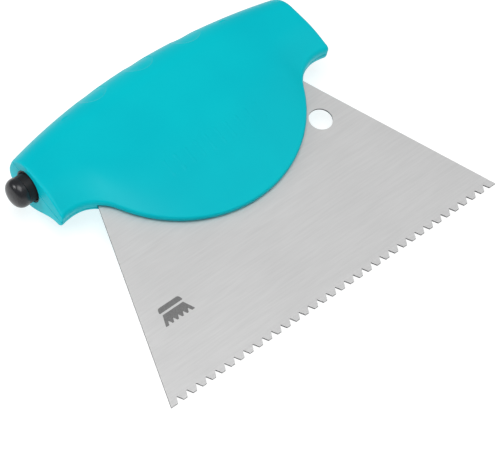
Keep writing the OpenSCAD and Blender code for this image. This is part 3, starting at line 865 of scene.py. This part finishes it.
def return_spring():
    """A helix whose end turns have a closer pitch, down to the share closed of the middle's."""
    closed = 0.35
    x0 = FLANGE_X + BUTTON_FLANGE_T + WIRE_D / 2
    x1 = WEB_X - WEB_T / 2 - ROD_BUSH_FLANGE_T - WIRE_D / 2
    turn = np.linspace(0, SPRING_TURNS, SPRING_TURNS * 40 + 1)
    lead = np.cumsum(mix(closed, 1.0, smooth(np.minimum(turn, SPRING_TURNS - turn) - 0.3)))
    x = mix(x0, x1, (lead - lead[0]) / (lead[-1] - lead[0]))
    around = np.linspace(0, 2 * math.pi, 12, endpoint=False)
    loops = []
    for a, centre in zip(turn * 2 * math.pi, x):
        out = SPRING_R + WIRE_D / 2 * np.cos(around)
        along = centre + WIRE_D / 2 * np.sin(around)
        across, up = BUTTON_Y + out * math.cos(a), -BUTTON_DEPTH + out * math.sin(a)
        loops.append(np.stack([along, across, up], axis=1))
    return loops_object("coil_spring", loops)


spring = finished(return_spring(), "grip", spring_steel, IN_GRIP, ["return_spring"], sharp=60)
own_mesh(spring)


# Screws

def screw(name, x, y, seat, reach):
    """A pan-head screw with a cross recess, driven from the rear, and a helical thread."""
    head = rounded([(0, seat - HEAD_H, 0), (HEAD_R, seat - HEAD_H, 0.8), (HEAD_R, seat, 0.15), (0, seat, 0)])
    obj = revolved(name, head, Matrix.Identity(4), segments=64)
    rows_per_turn = 8
    rows = int((reach - seat) / THREAD_PITCH * rows_per_turn)
    around = np.linspace(0, 2 * math.pi, 32, endpoint=False)
    loops = []
    for h in np.linspace(seat - 0.2, reach, rows):
        point = min(1.0, POINT_SHARE + (reach - h) / POINT_LEN)
        crest = 2 * np.abs((h / THREAD_PITCH - around / (2 * math.pi)) % 1 - 0.5)
        radius = (SCREW_R - THREAD_DEPTH * np.clip(1.4 * crest, 0, 1)) * point
        loops.append([(r * math.cos(a), r * math.sin(a), h) for r, a in zip(radius, around)])
    bottom = seat - HEAD_H
    cross = [block(-a, a, -b, b, bottom - OVERLAP, bottom + RECESS_DEPTH)
             for a, b in ((RECESS_HALF, RECESS_W / 2), (RECESS_W / 2, RECESS_HALF))]
    carve(obj, [*join(loops_object("thread", loops)), *cut(*cross)])
    obj.data.transform(Matrix.Translation((x, y, 0)))
    return obj


long_screws = [screw("screw", x, y, LONG_SEAT_Z, LONG_REACH) for x, y in LONG_SCREWS]
wing_screws = [screw("screw", x, y, WING_SEAT_Z, WING_REACH) for x, y in WING_SCREWS]
finished(joined("long_shell_screws", long_screws), "grip", zinc, IN_GRIP, ["shell_screws"])
finished(joined("grip_tip_screws", wing_screws), "grip", zinc, IN_GRIP, ["wing_screws"])


# Materials for the rest of the lock, which keeps the CAD's own meshes
LOCK_MATERIALS = {
    "plunger_rod": bright, "rod_bush": bronze, "retaining_clips": spring_steel, "lock_slide": zinc,
    "lock_studs": bright, "locating_dowels": bright, "guide_screws": zinc, "guide_washers": nylon,
    "tension_leaf": spring_steel}
for node, material in LOCK_MATERIALS.items():
    for material_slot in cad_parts[node].material_slots:
        material_slot.material = material


# Camera, floor and light

def camera():
    """Looks down at the tool from the front left, rolled by tilt."""
    azimuth, down, tilt = math.radians(44.516), math.radians(51.757), math.radians(4.05)
    aim, distance = Vector((-0.0132, -0.02713, 0.015)), 1.10517
    ahead = Vector((math.sin(azimuth), math.cos(azimuth), 0))
    forward = ahead * math.cos(down) - Vector((0, 0, math.sin(down)))
    level = forward.cross(Vector((0, 0, 1))).normalized()
    upright = level.cross(forward)
    right = level * math.cos(tilt) + upright * math.sin(tilt)
    up = upright * math.cos(tilt) - level * math.sin(tilt)
    data = bpy.data.cameras.new("camera")
    data.lens = 194.137
    data.sensor_width = 36
    obj = bpy.data.objects.new("camera", data)
    turned = Matrix((right, up, -forward)).transposed().to_4x4()
    obj.matrix_world = Matrix.Translation(aim - forward * distance) @ turned
    bpy.context.scene.collection.objects.link(obj)
    bpy.context.scene.camera = obj


def softbox(name, place, target, size, power):
    data = bpy.data.lights.new(name, "AREA")
    data.shape = "RECTANGLE"
    data.size, data.size_y = size
    data.energy = power
    obj = bpy.data.objects.new(name, data)
    obj.location = place
    obj.rotation_euler = (Vector(target) - Vector(place)).to_track_quat("-Z", "Y").to_euler()
    bpy.context.scene.collection.objects.link(obj)


def floor():
    half = 3
    corners = [(-half, -half, 0), (half, -half, 0), (half, half, 0), (-half, half, 0)]
    obj = new_object("floor", corners, [(0, 1, 2, 3)])
    material = bpy.data.materials.new("floor")
    material.use_nodes = True
    shader = material.node_tree.nodes["Principled BSDF"]
    shader.inputs["Base Color"].default_value = (0.4, 0.4, 0.4, 1)
    shader.inputs["Roughness"].default_value = 0.9
    shader.inputs["Specular IOR Level"].default_value = 0.1
    shader.inputs["Emission Color"].default_value = (1, 1, 1, 1)
    shader.inputs["Emission Strength"].default_value = 0.74
    obj.data.materials.append(material)
    gap_below_tips = 0.0002
    obj.location.z = -gap_below_tips


def studio():
    world = bpy.data.worlds.new("studio")
    world.use_nodes = True
    world.node_tree.nodes["Background"].inputs["Color"].default_value = (1, 1, 1, 1)
    world.node_tree.nodes["Background"].inputs["Strength"].default_value = 0.28
    bpy.context.scene.world = world
    softbox("overhead", (-0.5, -0.35, 2.4), (0, 0, 0), (1.6, 1.6), 34)
    softbox("side", (-0.65, 0.45, 0.62), (0, 0, 0), (0.3, 0.3), 2.2)
    softbox("fill", (0.7, -0.3, 0.9), (0, 0, 0), (0.8, 0.8), 1.6)
    bpy.context.scene.view_settings.view_transform = "Standard"


camera()
floor()
studio()
